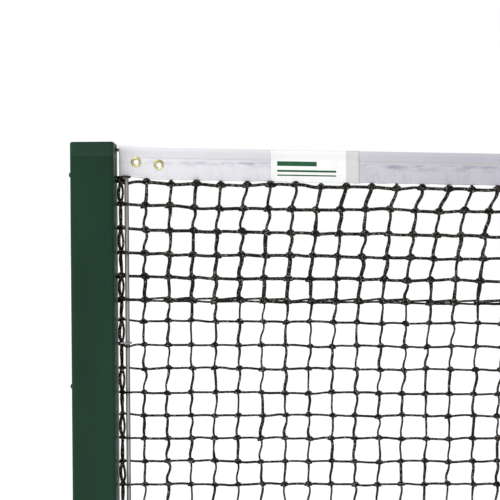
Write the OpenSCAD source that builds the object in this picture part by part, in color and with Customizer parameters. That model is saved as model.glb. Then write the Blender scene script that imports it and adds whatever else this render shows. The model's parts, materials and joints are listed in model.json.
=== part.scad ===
// Full-size tennis net: two square ground-socket posts, a covered head cable, braided netting on
// side rods, a centre strap, and an internal worm winch in the right post.
// X runs along the net, the front is -Y, and z = 0 is the court surface midway between the posts.

/* [Court] */
// Distance between the post centres
span = 12800; // [12000:100:12800]
// Height of the net's top edge at the centre strap
centre_height = 914; // [905:1:925]
// Height of the head cable's centre where it leaves a post
cable_height = 1071.5; // [1070:0.5:1073]

/* [Posts] */
// Side of the square post
post_side = 80; // [80:0.5:81]
// Wall of the post profile
post_wall = 3; // [2.5:0.5:3]
// Rounding of the post's four edges
post_corner = 7; // [5:1:8]
// Height of the post's head above the court
post_top = 1083; // [1081:1:1084]
// Height of the head casting above its seam
head_height = 28; // [27:1:29]
// Depth of the post below the court surface
post_sunk = 380; // [300:10:400]

/* [Net] */
// Diameter of the coated head cable
cable_d = 6; // [5.5:0.1:6]
// Height of the headband, folded over the cable
band_height = 59.5; // [55:0.5:62]
// Distance between the rows of knots where the net hangs freely
row_pitch = 43; // [42:0.1:43.5]
// Number of meshes from the headband down to the bottom cord
rows = 22; // [21:1:22]
// Rows of heavy twine under the headband
heavy_rows = 5; // [4:1:6]
// Diameter of the side rods
rod_d = 8; // [7:0.5:8]

/* [Centre strap] */
// Width of the strap's webbing
strap_w = 50; // [45:1:50]

/* [Winch] */
// Height of the drum's axle
drum_z = 790; // [760:1:800]
// Length of the crank arm from the worm shaft to the grip
crank_length = 160; // [140:5:180]

/* [Hidden] */
$fn = 48;

// Colours
post_green = "#26402f";
head_green = "#2f4a3a";
band_white = "#ebebf0";
twine_black = "#2b2725";
brass = "#b3ab74";
steel = "#a9abad";
galvanised = "#8f9496";
dark_steel = "#3a3c3d";
rubber_black = "#1e1f20";

// Clearances
gap = 0.3;      // between pieces that only lie beside each other
run = 0.03;     // radial, between a shaft and its bore

post_x = span / 2;
half = post_side / 2;
inner = half - post_wall;
head_base = post_top - head_height;

// Slot for the net hooks, in the post face towards the net
mouth_w = 8.4;
chamber_w = 16;
chamber_depth = 7;
slot_block_w = chamber_w + 5;
slot_block_depth = post_wall + chamber_depth + 2.5;

// Pulley, its pin and the cable's path over it
hem_r = 5.5;                         // of the headband's hem, round the cable
cable_r = cable_d / 2;
groove_r = 21;                       // from the pin to the cable's centreline
pulley_r = 22;
pulley_w = 12;
pulley_z = cable_height - groove_r;
pin_r = 5;
mid_cable_z = centre_height - hem_r;
fall = pulley_z - mid_cable_z;
slope = atan2(fall, post_x) + asin(groove_r / norm([fall, post_x]));
tangent = [groove_r * sin(slope), pulley_z + groove_r * cos(slope)];
function cable_z(from_post) = tangent[1] - (from_post - tangent[0]) * tan(slope);

// Head casting
cheek_t = 6;
cheek_gap = 14;
cheek_drop = 60;
cheek_end = 22;
back_t = 6.5;
pin_end = cheek_gap / 2 + cheek_t + 3;
window_w = 12;
head_screw_z = head_base - 30.5;
room_top = cable_height + hem_r;

// Screws and the peg that holds the cable's eye
screw_r = 2.9;
screw_head_r = 4.6;
tall_head = 6;
low_head = 2.9;
peg_z = 633;
peg_r = 5;
peg_flange_r = peg_r + 4;
peg_flange_t = 4;
peg_thread = 13;                     // depth of the peg's threaded hole
eye_r = 12;
eye_z = peg_z + eye_r - cable_r - peg_r - 0.1;

// Ground sockets
socket_clearance = 1;
socket_wall = 4;
socket_in = post_side + 2 * socket_clearance;
socket_out = socket_in + 2 * socket_wall;
rim_side = 128;
rim_t = 4;
rim_corner = 8;
drain_r = 12;
seat_gap = 0.2;                      // under the post's foot

// Headband: a hem round the cable and a flat skirt below it
band_t = 4;
band_end = 48;                       // from the post's centre to the band's end
skirt = band_height - hem_r;
end_rise = 7;                        // of the skirt's edge, over the rod and the top hook
end_rise_from = 71;
end_rise_to = 88;
eyelet_at = [78.4, 120.4];           // from the post's centre
eyelet_drop = [22, 26.5];            // from the cable's centre to the eyelet's
eyelet_bore = 9;
eyelet_d = 20;
barrel_d = 12;
label_from = 328;                    // from the left post's centre
label_w = 163;

// Netting, as two slabs on each side of the strap
rod_from_post = 60;
side_cord_from_post = 49;
wire_r = 2;                          // of a net hook, which goes round the rod
hook_bend = rod_d / 2 + wire_r + 0.6;
net_from_post = rod_from_post + hook_bend + wire_r + 2 * gap;
side_cord_r = 3;
heavy_t = 5;
thin_t = 3;
band_bottom = cable_z(0) - skirt / cos(slope);
row_top = band_bottom - gap;
first_row = band_bottom - 7.5;
net_bottom = first_row - rows * row_pitch;
bottom_cord_r = 3;
rod_bottom = net_bottom + 9;
rod_top = cable_z(rod_from_post) - skirt / cos(slope) + end_rise - 1.5;
heavy_bottom = first_row - heavy_rows * row_pitch;
squeeze = 1.5;                       // how the height lost at the centre is shared by the rows
function lowered(z, from_post) =
    z - (cable_z(0) - cable_z(from_post)) * pow(z / row_top, squeeze);
strap_gap = 0.3;                     // half the gap between the halves, under the strap

// Net hooks
hooks = 4;
hook_plate_h = 12;
rows_per_hook = 7;
hook_rise = 4;                       // from the row of knots below it
top_hook_rise = 10;
function hook_z(i) = i == hooks ? first_row + top_hook_rise
    : first_row + hook_rise - (hooks - i) * rows_per_hook * row_pitch;

// Worm winch, in the frame of its post
cable_x = -groove_r;
barrel_r = 15;
drum_x = cable_x + barrel_r + cable_r + gap;
drum_from = -33.5;
drum_to = 4;
flange_t = 2.5;
flange_r = 24;
axle_r = 6;
wheel_teeth = 20;
wheel_pitch_r = 20;
wheel_root_r = 17.5;
wheel_tip_r = 21.8;
tooth_root_w = 3.6;
tooth_tip_w = 1.2;
wheel_t = 8;
hub_r = 11;
worm_y = 18;
worm_drop = 30.8;
worm_z = drum_z - worm_drop;
worm_turns = 4;
worm_pitch = 2 * PI * wheel_pitch_r / wheel_teeth;
worm_mean_r = 9.75;
worm_offset = 2.25;
shaft_r = 6;
plate_t = 2.5;
plate_from = 34.2;
frame_low = drum_z - 52;
frame_high = drum_z + 40;
frame_x = [-31, 25];
web_t = 3;
bush_r = 10;
bush_flange_r = 13;
bush_flange_t = 3;
square_side = 8.4;
square_length = 30;
square_from = half + bush_flange_t + 0.5;
crank_hub_r = 11;
crank_hub_length = 34;
crank_from = square_from + 0.5;
crank_to = crank_from + crank_hub_length;
crank_t = 7;
crank_w = 20;
grip_r = 14;
grip_length = 78;
grip_axle_r = 4;
wraps = 4;
winch_screw_x = [-22, 12];
winch_screw_z = frame_high - 10;

// Centre strap and its anchor
strap_t = 2;
strap_top_r = hem_r + 0.8;
slide_w = strap_w + 10;
slide_h = 30;
leg_y = 8;                           // from the net's plane to the webbing
leg_top = centre_height - 130;
leg_bottom = 96;
bar_r = 3;
ring_bar_z = 34;
ring_low_z = 12;
slide_z = 330;
hook_r = 9;
hook_wire_r = 3;
hook_up_z = ring_low_z - (hook_r - hook_wire_r - bar_r - gap);
anchor_bar_r = 4;
anchor_bar_z = -40;
hook_low_z = anchor_bar_z + (hook_r - hook_wire_r - anchor_bar_r - gap);
gate_pivot_z = 0;
gate_end_z = -33;
gate_r = 2.5;
gate_pin_r = 1.5;
lug_from = 2.8;                      // from the gate's middle to the inside of a lug
lug_r = 4;
anchor_r = 26;
anchor_wall = 4;
anchor_depth = 120;

// --- shared shapes ---------------------------------------------------------------------------

// Puts a post's own frame (+x towards the net) at the left (-1) or the right (1) post.
module at_post(side) {
    if (side < 0) translate([-post_x, 0, 0]) children();
    else translate([post_x, 0, 0]) mirror([1, 0, 0]) children();
}

// Turns the drawing plane into the net's plane: drawn x stays x, and drawn y becomes z.
module upright(thickness) {
    rotate([90, 0, 0]) linear_extrude(thickness, center = true) children();
}

module rounded_square(side, radius) {
    square([side, side - 2 * radius], center = true);
    square([side - 2 * radius, side], center = true);
    for (x = [-1, 1], y = [-1, 1])
        translate([x, y] * (side / 2 - radius)) circle(radius);
}

// Cylinders along X and Y, from one coordinate to another.
module bar_x(from, to, r) { translate([from, 0, 0]) rotate([0, 90, 0]) cylinder(to - from, r, r); }
module bar_y(from, to, r) { translate([0, from, 0]) rotate([-90, 0, 0]) cylinder(to - from, r, r); }

// A round tube swept along points that lie in one plane whose normal is side_axis.
function unit(v) = v / norm(v);
function along(route, i) =
    unit(route[min(i + 1, len(route) - 1)] - route[max(i - 1, 0)]);
function ring(p, t, side_axis, r, sides) =
    [for (k = [0:sides - 1])
        p + r * (cos(360 * k / sides) * cross(t, side_axis) + sin(360 * k / sides) * side_axis)];
module tube(route, r, side_axis, sides = 10) {
    n = len(route);
    points = [for (i = [0:n - 1]) each ring(route[i], along(route, i), side_axis, r, sides)];
    walls = [for (i = [0:n - 2], k = [0:sides - 1])
        let (next = (k + 1) % sides)
        [i * sides + next, (i + 1) * sides + next, (i + 1) * sides + k, i * sides + k]];
    start_cap = [for (k = [sides - 1:-1:0]) k];
    end_cap = [for (k = [0:sides - 1]) (n - 1) * sides + k];
    polyhedron(points, concat(walls, [start_cap, end_cap]));
}

// Points on an arc in the XZ plane.
function arc_xz(centre, r, from, to, steps) =
    [for (i = [0:steps])
        let (a = from + (to - from) * i / steps)
        centre + r * [cos(a), 0, sin(a)]];

// --- posts -----------------------------------------------------------------------------------

module post_profile() {
    difference() {
        union() {
            difference() {
                rounded_square(post_side, post_corner);
                rounded_square(2 * inner, post_corner - post_wall + 1);
            }
            translate([half - slot_block_depth, -slot_block_w / 2])
                square([slot_block_depth - 1, slot_block_w]);
        }
        translate([half - post_wall - 1, -mouth_w / 2]) square([post_wall + 2, mouth_w]);
        translate([half - post_wall - chamber_depth, -chamber_w / 2])
            square([chamber_depth, chamber_w]);
    }
}

module post(side) {
    color(post_green) at_post(side) difference() {
        translate([0, 0, -post_sunk]) linear_extrude(post_sunk + head_base) post_profile();
        translate([0, 0, head_screw_z]) bar_x(-half - 1, -inner + 1, screw_r + 0.1);
        if (side < 0) translate([0, 0, peg_z]) bar_x(-half - 1, -inner + 1, screw_r + 0.1);
        else {
            translate([0, worm_y, worm_z]) bar_x(-half - 1, -inner + 1, bush_r + 0.05);
            winch_screw_places() bar_y(-5, 5, screw_r + 0.1);
        }
    }
}

module winch_screw_places() {
    for (x = winch_screw_x, y = [-1, 1])
        translate([x, 0, winch_screw_z]) scale([1, y, 1]) translate([0, half - 2, 0]) children();
}

module ground_socket(side) {
    color(galvanised) at_post(side) {
        difference() {
            union() {
                translate([0, 0, -post_sunk - socket_wall - seat_gap])
                    linear_extrude(post_sunk + socket_wall + seat_gap)
                    rounded_square(socket_out, post_corner + socket_clearance + socket_wall);
                linear_extrude(rim_t) rounded_square(rim_side, rim_corner);
            }
            translate([0, 0, -post_sunk - seat_gap]) linear_extrude(post_sunk + 20)
                rounded_square(socket_in, post_corner + socket_clearance);
            translate([0, 0, -post_sunk - 20]) cylinder(40, drain_r, drain_r);
        }
    }
}

module post_head(side) {
    color(head_green) at_post(side) difference() {
        union() {
            translate([0, 0, head_base + gap]) linear_extrude(head_height - gap - 2)
                rounded_square(post_side, post_corner);
            translate([0, 0, post_top - 2]) linear_extrude(2)
                rounded_square(post_side - 3, post_corner - 1.5);
            for (y = [cheek_gap / 2, -cheek_gap / 2 - cheek_t])
                translate([-inner + gap, y, head_base - cheek_drop])
                    cube([inner - gap + cheek_end, cheek_t, cheek_drop + 1]);
            translate([-inner + gap, -cheek_gap / 2 - 1, head_base - cheek_drop])
                cube([back_t, cheek_gap + 2, cheek_drop + 1]);
        }
        translate([-inner + gap + back_t, -cheek_gap / 2, head_base - cheek_drop - 1])
            cube([inner - gap - back_t + cheek_end + 3, cheek_gap, room_top - head_base + cheek_drop + 1]);
        translate([0, -window_w / 2, cable_height - 9])
            cube([half + 1, window_w, room_top - cable_height + 9]);
        translate([0, 0, pulley_z]) {
            bar_y(-cheek_gap, pin_end + gap, pin_r + 0.01);
            bar_y(-pin_end, -cheek_gap / 2 - cheek_t, pin_r + 2.5);
        }
        translate([0, 0, head_screw_z]) bar_x(-half, -inner + gap + back_t + 1, screw_r + 0.1);
    }
}

module pulley(side) {
    color(dark_steel) at_post(side) translate([0, 0, pulley_z]) rotate([90, 0, 0])
        rotate_extrude() difference() {
            translate([pin_r + run, -pulley_w / 2]) square([pulley_r - pin_r - run, pulley_w]);
            translate([groove_r + gap, 0]) circle(cable_r + 2 * gap);
        }
}

module pulley_pin(side) {
    color(steel) at_post(side) translate([0, 0, pulley_z]) {
        bar_y(-cheek_gap / 2 - cheek_t - gap, pin_end, pin_r);
        bar_y(-cheek_gap / 2 - cheek_t - gap - 2, -cheek_gap / 2 - cheek_t - gap, pin_r + 2);
    }
}

// A round-headed screw in a wall, pointing along +x, with its head outside x = 0.
module head_screw(length, head) {
    crown = 1.5;
    bar_x(-gap, length, screw_r);
    translate([-gap, 0, 0]) rotate([0, -90, 0]) {
        cylinder(head - crown, screw_head_r, screw_head_r);
        translate([0, 0, head - crown]) cylinder(crown, screw_head_r, screw_head_r * 0.62);
    }
}

module post_screws(side) {
    color(dark_steel) at_post(side) {
        translate([-half, 0, head_screw_z]) head_screw(post_wall + back_t, tall_head);
        if (side < 0) translate([-half, 0, peg_z]) head_screw(post_wall + peg_thread - 2, tall_head);
    }
}

module winch_screws() {
    color(dark_steel) at_post(1)
        for (x = winch_screw_x, y = [-1, 1])
            translate([x, y * half, winch_screw_z]) rotate([0, 0, -90 * y])
                head_screw(post_wall + 2.2, low_head);
}

// --- head cable ------------------------------------------------------------------------------

module cable_peg() {
    color(steel) at_post(-1) translate([0, 0, peg_z]) difference() {
        union() {
            bar_x(-inner + gap, -cheek_gap / 2, peg_r);
            bar_x(-inner + gap, -inner + peg_flange_t, peg_flange_r);
            bar_x(-cheek_gap / 2 - peg_flange_t, -cheek_gap / 2, peg_flange_r);
        }
        bar_x(-inner, -inner + peg_thread, screw_r + 0.1);
    }
}

module cable_ferrule() {
    length = 24;
    wall = 2.5;
    color(steel) at_post(-1) translate([cable_x, 0, eye_z + eye_r + cable_r + 1]) difference() {
        cylinder(length, cable_r + wall, cable_r + wall);
        translate([0, 0, -1]) cylinder(length + 2, cable_r + 0.05, cable_r + 0.05);
    }
}

// Half of the cable's route: up inside the post, over the pulley and down to the net's centre.
function half_route(low) = concat(
    [[cable_x, 0, low], [cable_x, 0, (low + pulley_z) / 2]],
    arc_xz([0, 0, pulley_z], groove_r, 180, 90 - slope, 10),
    [[60, 0, cable_z(60)], [post_x / 2, 0, cable_z(post_x / 2)]]
);

module head_cable() {
    left = [for (p = half_route(eye_z + eye_r + 1)) [p[0] - post_x, 0, p[2]]];
    right = [for (p = half_route(drum_z)) [post_x - p[0], 0, p[2]]];
    last = len(right) - 1;
    route = concat(left, [[0, 0, mid_cable_z]], [for (i = [last:-1:0]) right[i]]);
    color(rubber_black) {
        tube(route, cable_r, [0, 1, 0], 12);
        at_post(-1) translate([cable_x, 0, eye_z]) rotate([0, 90, 0])
            rotate_extrude() translate([eye_r, 0]) circle(cable_r);
    }
}

// --- net -------------------------------------------------------------------------------------

// Lays children drawn along the cable (x from the post, z from its centreline) on its slope.
module on_cable() {
    translate([tangent[0], 0, tangent[1]]) rotate([0, slope, 0])
        translate([-tangent[0] / cos(slope), 0, 0]) children();
}

// Cuts what passes the middle of the span, under the strap.
module to_centre() {
    difference() {
        children();
        translate([post_x - strap_gap, -20, -post_top]) cube([100, 40, 3 * post_top]);
    }
}

module headband(side) {
    color(band_white) at_post(side) to_centre() on_cable() difference() {
        union() {
            bar_x(band_end, post_x + 30, hem_r);
            translate([band_end, -band_t / 2, -skirt]) cube([post_x + 30 - band_end, band_t, skirt]);
        }
        upright(2 * band_t) polygon([
            [band_end - 1, -skirt - 1], [end_rise_to, -skirt - 1], [end_rise_to, -skirt],
            [end_rise_from, -skirt + end_rise], [band_end - 1, -skirt + end_rise]
        ]);
        bar_x(band_end - 1, post_x + 31, cable_r + gap);
        for (i = [0:1]) translate([eyelet_at[i], 0, -eyelet_drop[i]])
            bar_y(-band_t, band_t, barrel_d / 2 + 0.05);
    }
}

module band_eyelets() {
    flange = 1;
    color(brass) for (side = [-1, 1], i = [0:1])
        at_post(side) on_cable() translate([eyelet_at[i], 0, -eyelet_drop[i]]) difference() {
            union() {
                bar_y(-band_t / 2 - gap, band_t / 2 + gap, barrel_d / 2);
                for (y = [-band_t / 2 - gap - flange, band_t / 2 + gap])
                    bar_y(y, y + flange, eyelet_d / 2);
            }
            bar_y(-band_t, band_t, eyelet_bore / 2);
        }
}

module band_label() {
    t = 0.8;
    color("white") at_post(-1) on_cable() translate([label_from, 0, 0]) {
        rotate([90, 0, 90]) linear_extrude(label_w) {
            intersection() {
                difference() {
                    circle(hem_r + gap + t);
                    circle(hem_r + gap);
                }
                translate([-3 * hem_r - band_t / 2 - gap, -2 * hem_r]) square([3 * hem_r, 4 * hem_r]);
            }
            translate([-band_t / 2 - gap - t, -skirt]) square([t, skirt - hem_r + 0.4]);
        }
    }
}

// One half of a band of netting, between two heights at the post.
module netting(side, top, bottom, thickness) {
    color(twine_black) at_post(side) upright(thickness) polygon([
        [net_from_post, lowered(bottom, net_from_post)],
        [post_x - strap_gap, lowered(bottom, post_x)],
        [post_x - strap_gap, lowered(top, post_x)],
        [net_from_post, lowered(top, net_from_post)]
    ]);
}

module side_cord(side) {
    color(twine_black) at_post(side) translate([side_cord_from_post, 0, net_bottom])
        cylinder(band_bottom - net_bottom - 2, side_cord_r, side_cord_r);
}

module bottom_cord() {
    color(twine_black) translate([0, 0, lowered(net_bottom, post_x) - bottom_cord_r - gap])
        bar_x(-post_x + side_cord_from_post, post_x - side_cord_from_post, bottom_cord_r);
}

module net_rod(side) {
    color("#8b8884") at_post(side) translate([rod_from_post, 0, 0]) {
        translate([0, 0, rod_bottom]) cylinder(rod_top - rod_bottom - 1, rod_d / 2, rod_d / 2);
        translate([0, 0, rod_top - 1]) cylinder(1, rod_d / 2, rod_d / 2 - 1);
    }
}

// Hook in the slot's chamber, whose wire goes round the front of the side rod.
module net_hook(side, i) {
    route = concat(
        [[half - post_wall - 2, 0, 0], [half + 1, 0, 0], [half + 5, -hook_bend * 0.6, 0],
            [half + 8, -hook_bend, 0], [(half + 8 + rod_from_post) / 2, -hook_bend, 0]],
        [for (a = [-90:19:100]) [rod_from_post + hook_bend * cos(a), hook_bend * sin(a), 0]]
    );
    color(side < 0 && i == hooks ? dark_steel : steel) at_post(side) translate([0, 0, hook_z(i)]) {
        tube(route, wire_r, [0, 0, 1], 12);
        translate([half - post_wall - chamber_depth + 0.5, -chamber_w / 2 + 0.6, -hook_plate_h / 2])
            cube([chamber_depth - 1, chamber_w - 1.2, hook_plate_h]);
    }
}

// --- winch -----------------------------------------------------------------------------------

module winch_frame() {
    color(galvanised) at_post(1) difference() {
        union() {
            for (y = [plate_from, -plate_from - plate_t])
                translate([frame_x[0], y, frame_low])
                    cube([frame_x[1] - frame_x[0], plate_t, frame_high - frame_low]);
            translate([frame_x[1] - web_t, -plate_from - plate_t, frame_low])
                cube([web_t, 2 * (plate_from + plate_t), frame_high - frame_low]);
        }
        translate([drum_x, 0, drum_z]) bar_y(-half, half, axle_r + 0.02);
        translate([0, worm_y, worm_z]) bar_x(0, frame_x[1] + 1, bush_r + 0.05);
        for (x = winch_screw_x) translate([x, 0, winch_screw_z]) bar_y(-half, half, screw_r + 0.1);
    }
}

module worm_bushes() {
    color(brass) at_post(1) translate([0, worm_y, worm_z]) difference() {
        union() {
            bar_x(-half - bush_flange_t, -half - 0.2, bush_flange_r);
            bar_x(-half - 0.2, -inner + 4, bush_r);
            bar_x(frame_x[1] - web_t - 3, frame_x[1], bush_r);
        }
        bar_x(-half - bush_flange_t - 1, frame_x[1] + 1, shaft_r + run);
    }
}

module worm_shaft() {
    color(steel) at_post(1) translate([0, worm_y, worm_z]) {
        bar_x(-square_from, frame_x[1], shaft_r);
        translate([-square_from - square_length, -square_side / 2, -square_side / 2])
            cube([square_length + 1, square_side, square_side]);
        translate([drum_x, 0, 0]) rotate([0, 90, 0])
            linear_extrude(worm_turns * worm_pitch, center = true,
                twist = 360 * worm_turns, slices = 16 * worm_turns, $fn = 20)
            translate([worm_offset, 0]) circle(worm_mean_r);
    }
}

module worm_wheel() {
    color(brass) at_post(1) translate([drum_x, worm_y + wheel_t / 2, drum_z]) rotate([90, 0, 0])
        linear_extrude(wheel_t) difference() {
            union() {
                circle(wheel_root_r);
                for (i = [0:wheel_teeth - 1]) rotate(-90 + i * 360 / wheel_teeth)
                    polygon([[wheel_root_r - 1, -tooth_root_w / 2], [wheel_tip_r, -tooth_tip_w / 2],
                        [wheel_tip_r, tooth_tip_w / 2], [wheel_root_r - 1, tooth_root_w / 2]]);
            }
            circle(hub_r + 0.02);
        }
}

module cable_drum() {
    color(galvanised) at_post(1) translate([drum_x, 0, drum_z]) difference() {
        union() {
            bar_y(drum_from, drum_from + flange_t, flange_r);
            bar_y(drum_from, drum_to + flange_t, barrel_r);
            bar_y(drum_to, drum_to + flange_t, flange_r);
            bar_y(drum_to, worm_y + wheel_t / 2 + gap, hub_r);
            bar_y(drum_to, plate_from - gap, axle_r + 3);
        }
        bar_y(-half, half, axle_r + run);
    }
}

module cable_wraps() {
    color(rubber_black) at_post(1) translate([drum_x, 0, drum_z]) rotate([90, 0, 0])
        for (i = [1:wraps]) translate([0, 0, i * (cable_d + 0.4)])
            rotate_extrude() translate([barrel_r + cable_r + 0.02, 0]) circle(cable_r);
}

module drum_axle() {
    color(steel) at_post(1) translate([drum_x, 0, drum_z])
        bar_y(-plate_from - plate_t, plate_from + plate_t, axle_r);
}

module crank_arm() {
    color(dark_steel) at_post(1) translate([0, worm_y, worm_z]) difference() {
        union() {
            bar_x(-crank_to, -crank_from, crank_hub_r);
            bar_x(-crank_to, -crank_to + crank_t, crank_hub_r + 2);
            translate([-crank_to, -crank_w / 2, -crank_length]) cube([crank_t, crank_w, crank_length]);
            translate([0, 0, -crank_length]) bar_x(-crank_to, -crank_to + crank_t, crank_w / 2);
        }
        translate([-square_from - square_length - 1.5, -square_side / 2 - gap, -square_side / 2 - gap])
            cube([square_length + 10, square_side + 2 * gap, square_side + 2 * gap]);
        translate([0, 0, -crank_length]) bar_x(-crank_to - 1, -crank_to + crank_t + 1, grip_axle_r + 0.01);
    }
}

module grip_axle() {
    color(steel) at_post(1) translate([0, worm_y, worm_z - crank_length]) {
        bar_x(-crank_to - grip_length - 1.5, -crank_to + crank_t + 1, grip_axle_r);
        bar_x(-crank_to - grip_length - 4, -crank_to - grip_length - 1.2, grip_axle_r + 4);
    }
}

module crank_grip() {
    color(rubber_black) at_post(1) translate([0, worm_y, worm_z - crank_length])
        rotate([0, -90, 0]) translate([0, 0, crank_to + 0.6]) rotate_extrude() difference() {
            union() {
                translate([0, 4]) square([grip_r, grip_length - 8]);
                square([grip_r - 4, grip_length]);
                for (z = [4, grip_length - 4]) translate([grip_r - 4, z]) circle(4);
            }
            translate([-grip_r, -1]) square([grip_r + grip_axle_r + run, grip_length + 2]);
        }
}

// --- centre strap ----------------------------------------------------------------------------

// Outline of the webbing's loop, in the YZ plane, grown outwards by t: over the hem, down both
// sides of the net and round the ring's upper bar.
function bow(z, r, from, to) = [for (a = [from:15:to]) [r * cos(a), z + r * sin(a)]];
module strap_outline(t) {
    polygon(concat(
        bow(mid_cable_z, strap_top_r + t, 0, 180),
        [[-leg_y - t, leg_top], [-leg_y - t, leg_bottom]],
        bow(ring_bar_z, bar_r + gap + t, 180, 360),
        [[leg_y + t, leg_bottom], [leg_y + t, leg_top]]
    ));
}

module centre_strap() {
    color("#f2f2f2") rotate([90, 0, 90]) linear_extrude(strap_w, center = true) difference() {
        strap_outline(strap_t);
        strap_outline(0);
    }
}

// Keeper that the front leg runs through.
module strap_slide() {
    wall = 1.2;
    room = 0.6;
    deep = strap_t + 2 * (room + wall);
    color(steel) translate([0, -leg_y - strap_t / 2, slide_z]) difference() {
        cube([slide_w, deep, slide_h], center = true);
        cube([strap_w + 2 * room, strap_t + 2 * room, slide_h + 10], center = true);
    }
}

// Rectangular ring: the webbing on its upper bar, the snap hook on its lower one.
module strap_ring() {
    half_w = strap_w / 2 + 4;
    color(steel) {
        for (z = [ring_low_z, ring_bar_z]) translate([0, 0, z]) bar_x(-half_w, half_w, bar_r);
        for (x = [-half_w, half_w]) translate([x, 0, ring_low_z]) {
            cylinder(ring_bar_z - ring_low_z, bar_r, bar_r);
            sphere(bar_r);
            translate([0, 0, ring_bar_z - ring_low_z]) sphere(bar_r);
        }
    }
}

// A half circle of wire in the YZ plane, open downwards.
module wire_bow() {
    rotate([90, 0, 90]) rotate_extrude(angle = 180) translate([hook_r, 0]) circle(hook_wire_r);
}

module snap_hook() {
    lug = 1.4;
    color(steel) {
        translate([0, 0, hook_up_z]) wire_bow();
        translate([0, 0, hook_low_z]) mirror([0, 0, 1]) wire_bow();
        translate([0, hook_r, hook_low_z]) cylinder(hook_up_z - hook_low_z, hook_wire_r, hook_wire_r);
        translate([0, -hook_r, hook_low_z])
            cylinder(gate_end_z - hook_low_z - gap, hook_wire_r, hook_wire_r);
        translate([0, -hook_r, gate_pivot_z + 5])
            cylinder(hook_up_z - gate_pivot_z - 5, hook_wire_r, hook_wire_r);
        for (x = [-lug_from - lug, lug_from]) translate([x, -hook_r, gate_pivot_z]) difference() {
            union() {
                bar_x(0, lug, lug_r);
                translate([0, -hook_wire_r, 0]) cube([lug, 2 * hook_wire_r, 9]);
            }
            bar_x(-1, lug + 1, gate_pin_r + 0.02);
        }
        translate([-lug_from - lug, -hook_r - hook_wire_r, gate_pivot_z + 5])
            cube([2 * (lug_from + lug), 2 * hook_wire_r, 4]);
    }
}

module snap_gate() {
    color(steel) translate([0, -hook_r, gate_pivot_z]) difference() {
        union() {
            bar_x(-lug_from + 0.4, lug_from - 0.4, lug_r - 0.4);
            translate([0, 0, gate_end_z - gate_pivot_z])
                cylinder(gate_pivot_z - gate_end_z, gate_r, gate_r);
        }
        bar_x(-4, 4, gate_pin_r + run);
    }
}

module gate_pin() {
    color(dark_steel) translate([0, -hook_r, gate_pivot_z]) bar_x(-4.6, 4.6, gate_pin_r);
}

module centre_anchor() {
    outer_r = anchor_r + anchor_wall;
    color(galvanised) {
        difference() {
            union() {
                translate([0, 0, -anchor_depth]) cylinder(anchor_depth, outer_r, outer_r);
                cylinder(3, outer_r + 12, outer_r + 10);
            }
            translate([0, 0, -anchor_depth + 4]) cylinder(anchor_depth, anchor_r, anchor_r);
        }
        translate([0, 0, anchor_bar_z]) bar_x(-anchor_r - 2, anchor_r + 2, anchor_bar_r);
    }
}

// --- nodes -----------------------------------------------------------------------------------

ground_socket(-1);  // left_ground_socket
ground_socket(1);  // right_ground_socket
post(-1);  // left_post
post(1);  // right_post
post_head(-1);  // left_post_head
post_head(1);  // right_post_head
pulley(-1);  // left_pulley
pulley(1);  // right_pulley
pulley_pin(-1);  // left_pulley_pin
pulley_pin(1);  // right_pulley_pin
post_screws(-1);  // left_post_screws
post_screws(1);  // right_post_screws
cable_peg();
cable_ferrule();
head_cable();
headband(-1);  // headband_left
headband(1);  // headband_right
band_eyelets();
band_label();
netting(-1, row_top, heavy_bottom + gap, heavy_t);  // netting_upper_left
netting(1, row_top, heavy_bottom + gap, heavy_t);  // netting_upper_right
netting(-1, heavy_bottom, net_bottom, thin_t);  // netting_lower_left
netting(1, heavy_bottom, net_bottom, thin_t);  // netting_lower_right
side_cord(-1);  // left_side_cord
side_cord(1);  // right_side_cord
bottom_cord();
net_rod(-1);  // left_net_rod
net_rod(1);  // right_net_rod
for (i = [1:hooks]) {
    net_hook(-1, i);
    net_hook(1, i);
}
winch_frame();
winch_screws();
worm_bushes();
worm_shaft();
worm_wheel();
cable_drum();
cable_wraps();
drum_axle();
crank_arm();
crank_grip();
grip_axle();
centre_strap();
strap_slide();
strap_ring();
snap_hook();
snap_gate();
gate_pin();
centre_anchor();
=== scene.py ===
"""Looks of a full-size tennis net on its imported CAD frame. Everything is in metres, in the row frame."""

import json
import math

import bpy
import numpy as np
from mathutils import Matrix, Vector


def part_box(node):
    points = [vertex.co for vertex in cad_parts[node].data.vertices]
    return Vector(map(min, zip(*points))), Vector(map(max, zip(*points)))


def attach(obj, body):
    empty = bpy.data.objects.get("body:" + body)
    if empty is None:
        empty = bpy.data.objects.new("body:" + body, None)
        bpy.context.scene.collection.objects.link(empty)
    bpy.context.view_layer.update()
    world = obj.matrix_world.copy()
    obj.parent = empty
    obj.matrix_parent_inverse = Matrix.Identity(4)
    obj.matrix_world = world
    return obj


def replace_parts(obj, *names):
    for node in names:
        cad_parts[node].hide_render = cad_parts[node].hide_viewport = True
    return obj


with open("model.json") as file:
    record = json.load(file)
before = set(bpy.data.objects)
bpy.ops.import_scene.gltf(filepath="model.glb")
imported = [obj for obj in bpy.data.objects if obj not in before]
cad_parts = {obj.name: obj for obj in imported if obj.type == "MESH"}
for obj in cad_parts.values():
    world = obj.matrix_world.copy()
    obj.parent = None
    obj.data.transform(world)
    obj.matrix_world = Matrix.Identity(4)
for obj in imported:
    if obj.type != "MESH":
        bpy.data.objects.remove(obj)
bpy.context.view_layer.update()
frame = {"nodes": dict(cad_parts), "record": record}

MM = 0.001

# --- sizes that the CAD source also holds -----------------------------------------------------

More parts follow.
